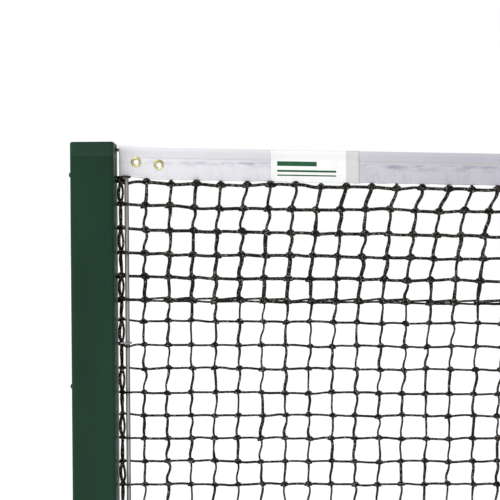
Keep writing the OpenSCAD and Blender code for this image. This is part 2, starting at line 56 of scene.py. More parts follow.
HEM_R = 5.5 * MM
SKIRT = 54 * MM  # from the cable's centre down to the headband's edge
FIRST_ROW_DROP = 7.5 * MM  # from the headband's edge to the first row of knots
ROW_PITCH = 43 * MM
ROWS = 22
HEAVY_ROWS = 5
SQUEEZE = 1.5  # how the rows share the height that is lost at the centre
ROWS_PER_HOOK = 7
STRAP_TOP_R = 6.3 * MM
STRAP_T = 2 * MM
LEG_Y = 8 * MM
LEG_TOP_DROP = 130 * MM
LEG_BOTTOM = 96 * MM
SLIDE_TRAVEL = 80 * MM
LABEL_FROM = 328 * MM
LABEL_W = 163 * MM
EYELET_AT = (78.4 * MM, 120.4 * MM)
EYELET_DROP = (22 * MM, 26.5 * MM)
RING_BAR_R = 3 * MM
STRAP_W = 50 * MM
ANCHOR_BORE_R = 26 * MM


def centre(node):
    low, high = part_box(node)
    return (low + high) / 2


POST_X = -centre("left_post").x
ROD_X = -centre("left_net_rod").x
BORDER_X = -centre("left_side_cord").x
band_low, band_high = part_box("headband_left")
BAND_END = -band_low.x
CABLE_MID = band_low.z + SKIRT
SLOPE = (band_high.z - HEM_R - CABLE_MID) / BAND_END
CABLE_END = CABLE_MID + SLOPE * POST_X
ROW_TOP = CABLE_END - SKIRT
FIRST_ROW = ROW_TOP - FIRST_ROW_DROP
RNG = np.random.default_rng(7)


def drop(x):
    """How far the cable has come down at x, from its height at a post."""
    return (POST_X - np.abs(x)) * SLOPE


def cable_z(x):
    return CABLE_END - drop(x)


def lowered(z, x):
    """A height of the netting at a post, brought to x."""
    return z - drop(x) * (np.asarray(z) / ROW_TOP) ** SQUEEZE


# --- camera, light and floor ------------------------------------------------------------------

CAMERA_AT = (-6.112, -2.6, 0.883)
CAMERA_LENS = 101
CAMERA_ROLL = 0.45  # degrees
FLOOR_GLOW = 0.2


def add_camera():
    data = bpy.data.cameras.new("camera")
    data.lens = CAMERA_LENS
    data.sensor_width = 36
    camera = bpy.data.objects.new("camera", data)
    camera.location = CAMERA_AT
    camera.rotation_euler = (math.pi / 2, math.radians(CAMERA_ROLL), 0)
    bpy.context.scene.collection.objects.link(camera)
    bpy.context.scene.camera = camera


def add_sun(name, strength, spread, azimuth, elevation, tint=(1, 1, 1)):
    """A soft studio light from that side: azimuth 0 is the front, and 90 is the right."""
    data = bpy.data.lights.new(name, "SUN")
    data.energy = strength
    data.angle = math.radians(spread)
    data.color = tint
    light = bpy.data.objects.new(name, data)
    light.rotation_euler = (math.radians(90 - elevation), 0, math.radians(azimuth))
    bpy.context.scene.collection.objects.link(light)


def add_world():
    """White behind everything, with dimmer light from the same sky."""
    world = bpy.data.worlds.new("studio")
    world.use_nodes = True
    tree = world.node_tree
    sky, out = tree.nodes["Background"], tree.nodes["World Output"]
    sky.inputs["Color"].default_value = (0.96, 0.98, 1, 1)
    sky.inputs["Strength"].default_value = 0.5
    white = tree.nodes.new("ShaderNodeBackground")
    white.inputs["Color"].default_value = (1, 1, 1, 1)
    path = tree.nodes.new("ShaderNodeLightPath")
    mix = tree.nodes.new("ShaderNodeMixShader")
    tree.links.new(path.outputs["Is Camera Ray"], mix.inputs["Fac"])
    tree.links.new(sky.outputs["Background"], mix.inputs[1])
    tree.links.new(white.outputs["Background"], mix.inputs[2])
    tree.links.new(mix.outputs["Shader"], out.inputs["Surface"])
    bpy.context.scene.world = world


# --- finishes ---------------------------------------------------------------------------------


class Finish:
    """A Principled material made of procedural nodes in object space, so that no piece needs UVs."""

    def __init__(self, name, colour, roughness, metallic=0.0, **sockets):
        self.material = bpy.data.materials.new(name)
        self.material.use_nodes = True
        self.tree = self.material.node_tree
        self.shader = self.tree.nodes["Principled BSDF"]
        self.shader.inputs["Base Color"].default_value = (*colour, 1)
        self.shader.inputs["Roughness"].default_value = roughness
        self.shader.inputs["Metallic"].default_value = metallic
        for socket, value in sockets.items():
            self.shader.inputs[socket.replace("_", " ")].default_value = value
        self.place = self.tree.nodes.new("ShaderNodeTexCoord").outputs["Object"]
        self.height = None

    def node(self, kind, inputs, **settings):
        node = self.tree.nodes.new(kind)
        for key, value in settings.items():
            setattr(node, key, value)
        for key, value in inputs.items():
            if isinstance(value, bpy.types.NodeSocket):
                self.tree.links.new(value, node.inputs[key])
            else:
                node.inputs[key].default_value = value
        return node

    def stretched(self, scale):
        return self.node("ShaderNodeMapping", {"Vector": self.place, "Scale": scale}).outputs[0]

    def noise(self, size, detail=3, scale=(1, 1, 1)):
        """Cloudy pattern whose features are about that many metres across."""
        inputs = {"Vector": self.stretched(scale), "Scale": 1 / size, "Detail": detail}
        return self.node("ShaderNodeTexNoise", inputs).outputs["Fac"]

    def cells(self, size, scale=(1, 1, 1), output="Distance"):
        """Cells about that many metres across: how far from a cell's middle, or its random colour."""
        inputs = {"Vector": self.stretched(scale), "Scale": 1 / size}
        return self.node("ShaderNodeTexVoronoi", inputs).outputs[output]

    def ribs(self, pitch, axis):
        """Sine ridges along one axis, that many metres apart."""
        inputs = {"Vector": self.place, "Scale": math.pi / pitch / 10}
        return self.node("ShaderNodeTexWave", inputs, bands_direction=axis).outputs["Fac"]

    def math(self, operation, a, b=0.5, c=0.5):
        return self.node("ShaderNodeMath", {0: a, 1: b, 2: c}, operation=operation).outputs[0]

    def spread(self, value, low, high, to_low=0.0, to_high=1.0):
        inputs = {"Value": value, "From Min": low, "From Max": high, "To Min": to_low, "To Max": to_high}
        return self.node("ShaderNodeMapRange", inputs).outputs[0]

    def axis(self, index):
        return self.node("ShaderNodeSeparateXYZ", {0: self.place}).outputs[index]

    def ramp(self, value, *stops):
        node = self.node("ShaderNodeValToRGB", {"Fac": value})
        elements = node.color_ramp.elements
        while len(elements) < len(stops):
            elements.new(0.5)
        for element, (place, colour) in zip(elements, stops):
            element.position = place
            element.color = (*colour, 1)
        return node.outputs["Color"]

    def mix(self, factor, a, b):
        """Colour a turned into b as factor goes from 0 to 1. The numbered sockets are the colour ones."""
        node = self.node("ShaderNodeMix", {0: factor}, data_type="RGBA")
        for index, value in ((6, a), (7, b)):
            if isinstance(value, bpy.types.NodeSocket):
                self.tree.links.new(value, node.inputs[index])
            else:
                node.inputs[index].default_value = (*value, 1)
        return node.outputs[2]

    def set(self, socket, value):
        self.tree.links.new(value, self.shader.inputs[socket])
        return self

    def relief(self, value, depth, strength=1.0):
        """Adds a bump that many metres deep, over any that is already there."""
        inputs = {"Height": value, "Distance": depth, "Strength": strength}
        if self.height is not None:
            inputs["Normal"] = self.height
        self.height = self.node("ShaderNodeBump", inputs).outputs["Normal"]
        self.set("Normal", self.height)
        return self


def linear(code):
    """Scene colour of a #rrggbb screen colour."""
    parts = [int(code[i : i + 2], 16) / 255 for i in (1, 3, 5)]
    return tuple(c / 12.92 if c <= 0.04045 else ((c + 0.055) / 1.055) ** 2.4 for c in parts)


def powder_coat(name, colour, worn, seam=None):
    """Satin powder coat: orange peel, faint cloudiness, dust that has settled low down, and a painted
    highlight along the edge at the height of seam."""
    coat = Finish(name, linear(colour), 0.45, Specular_IOR_Level=0.18)
    peel = coat.noise(1.6 * MM, 2)
    cloud = coat.noise(90 * MM, 4, (1, 1, 0.35))
    tint = coat.mix(coat.spread(cloud, 0.35, 0.7), linear(colour), linear(worn))
    speck = coat.noise(14 * MM, 5)
    low = coat.spread(coat.axis(2), 0.0, 0.16, 0.4, 0.0)
    tint = coat.mix(coat.math("MULTIPLY", low, coat.spread(speck, 0.4, 0.7)), tint, linear("#5d6155"))
    if seam is not None:
        # Painted highlight: a pale line along the edge at the height of seam.
        edge = coat.math("COMPARE", coat.axis(2), seam, 2.2 * MM)
        edge = coat.math("MULTIPLY", edge, coat.spread(speck, 0.3, 0.6))
        tint = coat.mix(edge, tint, linear("#7d9486"))
    coat.set("Base Color", tint)
    coat.set("Roughness", coat.spread(cloud, 0.3, 0.75, 0.38, 0.54))
    return coat.relief(peel, 0.05 * MM, 0.35).relief(coat.noise(25 * MM, 2), 0.25 * MM, 0.15)


def metal(name, colour, dark, roughness, grain=(1, 1, 1)):
    """Bare metal with drawn grain, handling marks and dull patches."""
    bare = Finish(name, linear(colour), roughness, 1.0)
    lines = bare.noise(0.5 * MM, 3, grain)
    patch = bare.noise(12 * MM, 4)
    bare.set("Base Color", bare.mix(bare.spread(patch, 0.38, 0.68), linear(colour), linear(dark)))
    bare.set("Roughness", bare.spread(patch, 0.3, 0.7, roughness - 0.09, roughness + 0.14))
    return bare.relief(lines, 0.03 * MM, 0.4)


def glass_fibre_rod():
    """Grey pultruded rod with fine lines of fibre along it, and painted shade on its left and right sides.
    """
    rod = Finish("rod_grey", linear("#948c88"), 0.33, 0.15, Specular_IOR_Level=0.5)
    lines = rod.noise(0.6 * MM, 3, (1, 1, 0.03))
    scuff = rod.noise(18 * MM, 4, (1, 1, 0.3))
    tint = rod.mix(rod.spread(lines, 0.35, 0.65), linear("#a19995"), linear("#c4bcb8"))
    # Painted shade: the rod goes dark from 1.4 to 3.4 mm to either side of its axis.
    side_shade_offset = rod.math("ABSOLUTE", rod.math("SUBTRACT", rod.math("ABSOLUTE", rod.axis(0)), ROD_X))
    tint = rod.mix(rod.spread(side_shade_offset, 1.4 * MM, 3.4 * MM), tint, linear("#3b3633"))
    rod.set("Base Color", rod.mix(rod.spread(scuff, 0.5, 0.75, 0, 0.6), tint, linear("#6e6764")))
    rod.set("Roughness", rod.spread(scuff, 0.3, 0.7, 0.28, 0.45))
    return rod.relief(lines, 0.04 * MM, 0.4)


def galvanised_metal():
    """Hot-dip zinc: grey spangles a few millimetres across."""
    zinc = Finish("galvanised", linear("#9aa0a2"), 0.5, 0.85)
    spangle = zinc.cells(7 * MM, output="Color")
    shade = zinc.node("ShaderNodeSeparateXYZ", {0: spangle}).outputs[0]
    zinc.set("Base Color", zinc.ramp(shade, (0.0, linear("#7f8688")), (1.0, linear("#b4babb"))))
    zinc.set("Roughness", zinc.spread(shade, 0, 1, 0.38, 0.62))
    return zinc.relief(zinc.noise(3 * MM, 3), 0.08 * MM, 0.3)


def moulded(name, colour, roughness, texture=0.5 * MM):
    """Moulded plastic or rubber with a fine spark-eroded texture."""
    plastic = Finish(name, linear(colour), roughness)
    scuff = plastic.noise(8 * MM, 4)
    tint = plastic.mix(plastic.spread(scuff, 0.5, 0.75), linear(colour), linear("#4a4a49"))
    plastic.set("Base Color", tint)
    plastic.set("Roughness", plastic.spread(scuff, 0.3, 0.7, roughness - 0.08, roughness + 0.12))
    return plastic.relief(plastic.cells(texture), 0.05 * MM, 0.4)


def vinyl_cable():
    """Black vinyl drawn over a laid steel rope, whose strands show faintly through."""
    vinyl = Finish("cable_coat", linear("#191a1c"), 0.34, Coat_Weight=0.25, Coat_Roughness=0.2)
    scuff = vinyl.noise(4 * MM, 4, (0.2, 1, 1))
    tint = vinyl.mix(vinyl.spread(scuff, 0.5, 0.8), linear("#191a1c"), linear("#46474a"))
    vinyl.set("Base Color", tint)
    vinyl.set("Roughness", vinyl.spread(scuff, 0.3, 0.7, 0.28, 0.5))
    return vinyl.relief(vinyl.ribs(2.6 * MM, "DIAGONAL"), 0.12 * MM, 0.3)


def twine_finish():
    """Braided twine of uneven near-black fibre, with pale flecks of painted highlight and painted shade
    between strands.
    """
    twine = Finish("twine", linear("#2b2725"), 0.62, Specular_IOR_Level=0.12)
    strand = twine.cells(1.9 * MM, (1, 1, 0.8))
    random = twine.cells(1.9 * MM, (1, 1, 0.8), "Color")
    tone = twine.node("ShaderNodeSeparateXYZ", {0: random}).outputs[0]
    # Painted highlight: the pale end of this ramp stands for light caught on the strands.
    fleck_tone_and_highlight = twine.ramp(
        tone,
        (0.0, linear("#080706")),
        (0.5, linear("#201c1a")),
        (0.78, linear("#554f49")),
        (1.0, linear("#b5afa7")),
    )
    # Painted shade: the fibre goes near-black towards the edge of each strand.
    twine.set("Base Color", twine.mix(twine.spread(strand, 0.25, 0.75), fleck_tone_and_highlight, linear("#12100f")))
    twine.set("Roughness", twine.spread(tone, 0, 1, 0.72, 0.45))
    return twine.relief(strand, -0.5 * MM, 0.8).relief(twine.noise(0.35 * MM, 2), 0.1 * MM, 0.4)


def woven(name, pale, pitch, roughness=0.75):
    """Cloth of that colour, and its plain weave as crossing ribs."""
    cloth = Finish(name, linear(pale), roughness, Specular_IOR_Level=0.25)
    warp, weft = cloth.ribs(pitch, "X"), cloth.ribs(pitch, "Z")
    weave = cloth.math("MULTIPLY", warp, weft)
    return cloth, weave


def sewing_thread():
    cotton, weave = woven("thread", "#dcdbe2", 0.5 * MM)
    cotton.set("Base Color", cotton.mix(weave, linear("#c9c8d0"), linear("#eceaf0")))
    return cotton.relief(weave, 0.1 * MM, 0.6)


def band_fabric():
    """White vinyl-faced canvas, with painted shade: a darker stretch near the post where less light falls,
    grey shade in its creases and under the hem, and a painted shadow along the hem's seam."""
    cloth, weave = woven("band_fabric", "#efeef2", 0.9 * MM, 0.6)
    away = cloth.math("ABSOLUTE", cloth.axis(0))
    along = cloth.spread(away, POST_X, POST_X - 2)
    # Painted shade: the white darkens from 0.1 m to 0.7 m in from the post, and is light again by 2 m.
    base = cloth.ramp(
        along,
        (0.05, linear("#efeef2")),
        (0.17, linear("#e3e2e8")),
        (0.27, linear("#cdccd4")),
        (0.36, linear("#c3c2ca")),
        (0.6, linear("#cfced5")),
        (1.0, linear("#e6e5ea")),
    )
    level = cloth.math("MULTIPLY_ADD", away, -SLOPE, cloth.axis(2))
    level = cloth.math("SUBTRACT", level, CABLE_MID)
    # Painted shadow along the hem's seam, weaker near the band's end.
    seam = cloth.math("ABSOLUTE", cloth.math("SUBTRACT", level, HEM_SEAM * MM))
    seam_strength = cloth.spread(along, 0.02, 0.2, 0.1, 0.5)
    seam = cloth.math("MULTIPLY", cloth.spread(seam, 2.6 * MM, 0.4 * MM), seam_strength)
    hem = cloth.mix(seam, base, linear("#b6b4a8"))
    # Painted shade: a streak of crease shade just under the hem, and creases lower down.
    smear = cloth.noise(30 * MM, 4, (1, 1, 3))
    fold = cloth.noise(14 * MM, 4, (1, 1, 0.3))
    under_hem = cloth.spread(level, -16 * MM, -20 * MM)
    shade = cloth.math("MULTIPLY", under_hem, cloth.spread(level, -32 * MM, -24 * MM))
    shade = cloth.math("MULTIPLY", shade, cloth.spread(smear, 0.44, 0.64))
    low = cloth.spread(level, -18 * MM, -26 * MM)
    low = cloth.math("MULTIPLY", low, cloth.spread(fold, 0.52, 0.72, 0, 0.4))
    painted_crease_shade = cloth.math("MAXIMUM", shade, low)
    painted_crease_shade = cloth.math("MULTIPLY", painted_crease_shade, cloth.spread(along, 0.03, 0.2, 0.1, 0.8))
    cloth.set("Base Color", cloth.mix(painted_crease_shade, hem, linear("#9b99a9")))
    cloth.set("Roughness", cloth.spread(smear, 0.3, 0.7, 0.5, 0.7))
    return cloth.relief(weave, 0.1 * MM, 0.5).relief(cloth.noise(5 * MM, 4), 0.5 * MM, 0.35)


def strap_webbing():
    cloth, weave = woven("strap_web", "#eeeeec", 1.6 * MM)
    dirt = cloth.noise(30 * MM, 5)
    low = cloth.spread(cloth.axis(2), 0.05, 0.4, 0.6, 0.12)
    dirt = cloth.math("MULTIPLY", low, dirt)
    cloth.set("Base Color", cloth.mix(dirt, linear("#eeeeec"), linear("#9b9688")))
    return cloth.relief(weave, 0.3 * MM, 0.8)


# Left, right, bottom and top of each bar, as shares of the label
LABEL_BARS = ((0.07, 0.52, 0.5, 0.64), (0.07, 0.74, 0.32, 0.38), (0.07, 0.74, 0.2, 0.24))
LABEL_PANEL_FROM = 0.85  # of the label's width


def label_print(low, high):
    """White coated label with plain dark green bars and a pale panel, which stand in for print."""
    cloth, weave = woven("label_fabric", "#fbfbfb", 0.6 * MM, 0.5)
    across = cloth.spread(cloth.axis(0), low[0], high[0])
    slanted = cloth.math("MULTIPLY_ADD", cloth.axis(0), SLOPE, cloth.axis(2))
    up = cloth.spread(slanted, low[1], high[1])
    bars = None
    for x0, x1, z0, z1 in LABEL_BARS:
        inside = cloth.math("COMPARE", across, (x0 + x1) / 2, (x1 - x0) / 2)
        inside = cloth.math("MULTIPLY", inside, cloth.math("COMPARE", up, (z0 + z1) / 2, (z1 - z0) / 2))
        bars = inside if bars is None else cloth.math("MAXIMUM", bars, inside)
    panel = cloth.math("GREATER_THAN", across, LABEL_PANEL_FROM)
    ground = cloth.mix(panel, linear("#fbfbfb"), linear("#d9dbda"))
    cloth.set("Base Color", cloth.mix(bars, ground, linear("#21583a")))
    return cloth.relief(weave, 0.04 * MM, 0.3).relief(cloth.noise(9 * MM, 2), 0.3 * MM, 0.25)


def floor_finish():
    floor = Finish("floor", (0.9, 0.9, 0.9), 0.85, Specular_IOR_Level=0.1)
    floor.shader.inputs["Emission Color"].default_value = (1, 1, 1, 1)
    floor.shader.inputs["Emission Strength"].default_value = FLOOR_GLOW
    return floor


# --- meshes -----------------------------------------------------------------------------------


class Piece:
    """Collects vertices and quads, and makes one object of them."""

    def __init__(self):
        self.points, self.quads, self.count = [], [], 0

    def add(self, points, quads):
        points = np.asarray(points, float).reshape(-1, 3)
        self.points.append(points)
        self.quads.append(np.asarray(quads).reshape(-1, 4) + self.count)
        self.count += len(points)

    def make(self, name, finish):
        points, quads = np.concatenate(self.points), np.concatenate(self.quads)
        mesh = bpy.data.meshes.new(name)
        mesh.vertices.add(len(points))
        mesh.vertices.foreach_set("co", points.astype(np.float32).ravel())
        mesh.loops.add(quads.size)
        mesh.loops.foreach_set("vertex_index", quads.astype(np.int32).ravel())
        mesh.polygons.add(len(quads))
        mesh.polygons.foreach_set("loop_start", np.arange(0, quads.size, 4, dtype=np.int32))
        mesh.polygons.foreach_set("use_smooth", np.full(len(quads), True))
        mesh.update(calc_edges=True)
        mesh.materials.append(finish.material)
        piece = bpy.data.objects.new(name, mesh)
        bpy.context.scene.collection.objects.link(piece)
        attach(piece, "net_frame")
        return piece


def unit(v):
    return v / np.linalg.norm(v, axis=-1, keepdims=True)


def cap_quads(sides):
    """A flat polygon of an even number of corners, cut into quads."""
    return np.array([(i, i + 1, sides - 2 - i, sides - 1 - i) for i in range(sides // 2 - 1)])


def tubes(paths, across, deep, sides, twist=None):
    """Closed tubes along paths (n, steps, 3). Each section is an oval of radii across and deep, turned
    by twist."""
    paths = np.asarray(paths, float)
    n, steps = paths.shape[:2]
    along = unit(np.gradient(paths, axis=1))
    right = unit(np.cross(along, (0.0, 1.0, 0.0)))
    front = np.cross(right, along)
    turn = np.zeros((n, steps)) if twist is None else twist
    c, s = np.cos(turn)[..., None], np.sin(turn)[..., None]
    wide, thin = c * right + s * front, c * front - s * right
    across = np.broadcast_to(across, (n, steps))[..., None, None]
    deep = np.broadcast_to(deep, (n, steps))[..., None, None]
    angle = np.arange(sides) * 2 * math.pi / sides
    cos, sin = np.cos(angle)[:, None], np.sin(angle)[:, None]
    points = paths[:, :, None] + across * cos * wide[:, :, None] + deep * sin * thin[:, :, None]
    ring = np.arange(sides)
    walls = np.stack([ring, (ring + 1) % sides, (ring + 1) % sides + sides, ring + sides], -1)
    walls = (walls[None] + sides * np.arange(steps - 1)[:, None, None]).reshape(-1, 4)
    cap = cap_quads(sides)
    one = np.concatenate([walls, cap[:, ::-1], cap + sides * (steps - 1)])
    quads = one[None] + steps * sides * np.arange(n)[:, None, None]
    return points.reshape(-1, 3), quads.reshape(-1, 4)


def smooth_path(points, steps):
    """Catmull-Rom line through points, at that many places."""
    p = np.asarray(points, float)
    p = np.concatenate([2 * p[:1] - p[1:2], p, 2 * p[-1:] - p[-2:-1]])
    t = np.linspace(0, len(p) - 3 - 1e-9, steps)
    i, f = t.astype(int), (t % 1)[:, None]
    a, b, c, d = p[i], p[i + 1], p[i + 2], p[i + 3]
    square, cube = 2 * a - 5 * b + 4 * c - d, 3 * b - a - 3 * c + d
    return 0.5 * (2 * b + (c - a) * f + square * f**2 + cube * f**3)


def shell(centres, thickness, keep=None, closed=False):
    """A cloth of that thickness about a grid of points (rows, columns, 3), as one closed mesh. keep marks
    the cells that are there, and closed joins the last column to the first."""
    rows, columns = centres.shape[:2]
    spans = columns if closed else columns - 1
    if closed:
        padded = np.concatenate([centres[:, -1:], centres, centres[:, :1]], axis=1)
        du = (padded[:, 2:] - padded[:, :-2]) / 2
    else:
        du = np.gradient(centres, axis=1)
    normal = unit(np.cross(np.gradient(centres, axis=0), du))
    points = np.stack([centres + normal * thickness / 2, centres - normal * thickness / 2])
    index = np.arange(rows * columns).reshape(rows, columns)
    if keep is None:
        keep = np.ones((rows - 1, spans), bool)
    i, j = np.nonzero(keep)
    k = (j + 1) % columns
    outer = np.stack([index[i, j], index[i + 1, j], index[i + 1, k], index[i, k]], -1)
    quads = [outer, outer[:, ::-1] + rows * columns]
    gone = np.pad(~keep, 1, constant_values=True)
    if closed:
        gone[:, 0], gone[:, -1] = gone[:, -2], gone[:, 1]
    for di, dj, a, b in ((-1, 0, 3, 0), (1, 0, 1, 2), (0, -1, 0, 1), (0, 1, 2, 3)):
        edge = gone[i + 1 + di, j + 1 + dj]
        p, q = outer[edge, a], outer[edge, b]
        quads.append(np.stack([q, p, p + rows * columns, q + rows * columns], -1))
    return points.reshape(-1, 3), np.concatenate(quads)


def waves(count, shortest, longest, seed):
    """A smooth seeded wave of x whose size is about 1."""
    rng = np.random.default_rng(seed)
    lengths = np.exp(rng.uniform(math.log(shortest), math.log(longest), count))
    phases = rng.uniform(0, 2 * math.pi, count)
    scale = math.sqrt(2 / count)

    def at(x):
        x = np.asarray(x)[..., None]
        return scale * np.sin(2 * math.pi * x / lengths + phases).sum(-1)

    return at


# --- netting ----------------------------------------------------------------------------------

COLUMNS = 277
FIRST_COLUMN = 6.3074
CROWDING = ((0, 6, 13, COLUMNS // 2), (0, 9, 19, 0))  # mm towards the net's end, by the column from there
LEAN = ((0, 1, 4, 9, ROWS), (12.5, 6.5, 0, -5, -9))  # mm to the right of where row 4 is, by the row
LEAN_GROWS = ((0, 4, 6, 13, 40), (0.38, 1.1, 1.28, 2.7, 1.2))  # times that, by the column from the end
ROW_SHIFT = (0, 0, -2, -2.5, -1.5, -1.5, 3, 1.5, 1.5, -1)  # mm, of the rows that are tied unevenly
FINE_LEFT, FINE_RIGHT = 18, 10  # columns of knots drawn closely at each end
HEAVY_R, THIN_R = 2.95 * MM, 2.1 * MM
HEAVY_KNOT, THIN_KNOT = 2.85 * MM, 2.2 * MM
CORD_R = 3 * MM
LACING_R = 0.9 * MM
BORDER_R = 2.6 * MM
BORDER_OPEN, BORDER_SHUT = 4.0, 1.0  # mm from the middle of the doubled edge cord to each strand
BORDER_Y = 2.5 * MM  # how far the edge cord lies behind the cable
BORDER_TIES = (0, 0, 2, 1)  # mm, how much higher than its row a knot of the edge is tied, by turns
THICK, SLIM = 1.12, 0.85  # of BORDER_R: the strand beside the post, and the one beside the rod
HOOK_SAG = 4.2 * MM  # how far a row dips in front of the rod, where a hook lies on it
ROD_PASS = 7 * MM  # how far a row goes in front of the side rod, or behind it
STRAP_CLEAR = 34 * MM  # to each side of the middle, where the strap's webbing lies close
STRAP_PRESS = 1.3 * MM  # how far the knots lie back there, clear of the strap's slide

# A knot in multiples of its twine's radius: the front is -Y, and the row of twine runs along X.
FRONT_LOOP = ((-2.5, 0.3, -0.9), (-1.5, -0.9, 0.9), (0, -1.3, 1.7), (1.5, -0.9, 0.9), (2.5, 0.3, -0.9))
BACK_LOOP = ((-2, 0.5, 0.6), (0, 1.3, 1.3), (2, 0.5, 0.6))
LOW_LOOP = ((-1.7, -0.6, -0.3), (0, -1.2, -1.1), (1.7, -0.6, -0.3))
CORE_HALF = 1.5
CORE = (0.5, 1.3, 1.5, 1.3, 0.5)


def knot_shape(fine):
    """Points and quads of one knot, whose twine has a radius of 1."""
    shape = Piece()
    if fine:
        for loop in (FRONT_LOOP, BACK_LOOP, LOW_LOOP):
            shape.add(*tubes(smooth_path(loop, 9)[None], 1.0, 1.0, 8))
        line = np.linspace((-CORE_HALF, 0, 0.1), (CORE_HALF, 0, 0.1), len(CORE))
        shape.add(*tubes(line[None], np.array(CORE), np.array(CORE), 8))
    else:
        shape.add(*tubes(smooth_path(FRONT_LOOP, 5)[None], 1.1, 1.5, 6))
        shape.add(*tubes(smooth_path(LOW_LOOP, 4)[None], 1.1, 1.1, 4))
    return np.concatenate(shape.points), np.concatenate(shape.quads)


def add_knots(piece, places, size, fine):
    """Knots at places (n, 3), each a little turned, and every other one tied from the other side."""
    points, quads = knot_shape(fine)
    n = len(places)
    turn = RNG.normal(0, 0.14, n)
    grow = size * RNG.uniform(0.93, 1.1, n)
    flip = np.where(np.arange(n) % 2 == 0, 1.0, -1.0)
    x = points[None, :, 0] * flip[:, None]
    y, z = np.broadcast_to(points[None, :, 1], x.shape), points[None, :, 2]
    c, s = np.cos(turn)[:, None], np.sin(turn)[:, None]
    turned = np.stack([c * x - s * z, y, s * x + c * z], -1) * grow[:, None, None] + places[:, None]
    faces = np.where(flip[:, None, None] > 0, quads[None], quads[None, :, ::-1])
    piece.add(turned, faces + len(points) * np.arange(n)[:, None, None])


def strands(starts, ends, steps, bow, sway):
    """Paths between points, with a bow (n, 3) at the middle and a sway (n, 3) to one side and back."""
    t = np.linspace(0, 1, steps)[None, :, None]
    line = starts[:, None] + (ends - starts)[:, None] * t
    return line + bow[:, None] * np.sin(math.pi * t) + sway[:, None] * np.sin(2 * math.pi * t)


def scatter(n, x, y, z):
    """Seeded offsets of about that size in each direction."""
    return RNG.normal(0, 1, (n, 3)) * (np.array((x, y, z)) * MM)


def row_z(x, row):
    """The height of a row of knots. The top rows are drawn up a little beside the side rods."""
    near = np.exp(-(((BORDER_X - np.abs(x)) / (85 * MM)) ** 2))
    lift = 4.5 * near * np.interp(row, (0, 1, 2, 3, 6), (1, 1, 0.7, 0.4, 0))
    shift = np.interp(row, np.arange(len(ROW_SHIFT) + 1), (*ROW_SHIFT, 0))
    return lowered(FIRST_ROW - ROW_PITCH * row, x) + (lift + shift) * MM


def knot_grid():
    """Where every knot lies, (COLUMNS, ROWS + 1, 3). The columns lean, most of all in the first row."""
    row = np.arange(ROWS + 1)[None]
    column = np.arange(COLUMNS)[:, None]
    from_end = np.minimum(column, COLUMNS - 1 - column)
    x = np.linspace(-FIRST_COLUMN, FIRST_COLUMN, COLUMNS)[:, None]
    x = x + np.sign(x) * MM * np.interp(from_end, *CROWDING)
    x = x + np.interp(row, *LEAN) * MM * np.interp(from_end, *LEAN_GROWS)
    jitter = scatter(COLUMNS * (ROWS + 1), 1.1, 0.8, 1.0).reshape(COLUMNS, ROWS + 1, 3)
    places = np.stack([x, np.zeros_like(x), row_z(x, row)], -1) + jitter
    places[..., 1] = np.where(np.abs(x) < STRAP_CLEAR, STRAP_PRESS, places[..., 1])
    return places


def is_heavy(row):
    return row <= HEAVY_ROWS


def add_rows(piece, grid, first, last, fine):
    """The twine along each row, from each column to the next."""
    steps, sides = (9, 10) if fine else (4, 6)
    last = min(last, COLUMNS - 1)
    for row in range(ROWS + 1):
        a, b = grid[first:last, row], grid[first + 1 : last + 1, row]
        n = len(a)
        r = HEAVY_R if is_heavy(row) else THIN_R
        bow = scatter(n, 0, 0.6, 0.7)
        if row == HEAVY_ROWS:  # the last heavy row is laid double, and its strands part towards the right
            up, slack = np.array((0, 0, MM)), bow * 0.4
            upper = strands(a + 1.2 * up, b + 5.2 * up, steps, slack, slack)
            paths = np.concatenate([upper, strands(a - 1.2 * up, b - 1.4 * up, steps, -slack, slack)])
            width = r * np.tile(np.where(np.arange(n) % 2, 0.86, 0.66), 2)[:, None]
            piece.add(*tubes(paths, width, width, sides))
        else:
            width = r * RNG.uniform(0.92, 1.1, n)[:, None]
            piece.add(*tubes(strands(a, b, steps, bow, scatter(n, 0, 0.3, 0.4)), width, r, sides))


def add_columns(piece, grid, first, last, fine):
    """The twine from each knot down to the next. It is flattened, and turns as it goes."""
    steps, sides = (9, 10) if fine else (4, 6)
    turn = np.linspace(0, 1, steps)[None]
    for row in range(ROWS):
        a, b = grid[first:last, row], grid[first:last, row + 1]
        n = len(a)
        r = HEAVY_R if row < HEAVY_ROWS else THIN_R
        twist = RNG.uniform(0, math.pi, n)[:, None] + RNG.normal(0, 1.2, n)[:, None] * turn
        sway = scatter(n, 0.8, 0.4, 0) + np.array((1.1, 0, 0)) * MM
        paths = strands(a, b, steps, scatter(n, 1.2, 0.6, 0), sway)
        piece.add(*tubes(paths, r * RNG.uniform(1.12, 1.5, n)[:, None], r * 0.86, sides, twist))


def add_tops(piece, grid, first, last):
    """Flat ends of twine that go up from the first row of knots and between the headband's two sides."""
    a = grid[first:last, 0]
    x = a[:, 0]
    b = np.stack([x, band_swing(x, -50) * MM, cable_z(x) - SKIRT + 4 * MM], -1)
    deep = np.array((0.8, 0.5, 0.2, 0.15, 0.1)) * HEAVY_R
    piece.add(*tubes(strands(a, b, 5, a * 0, a * 0), 0.95 * HEAVY_R, deep, 6))


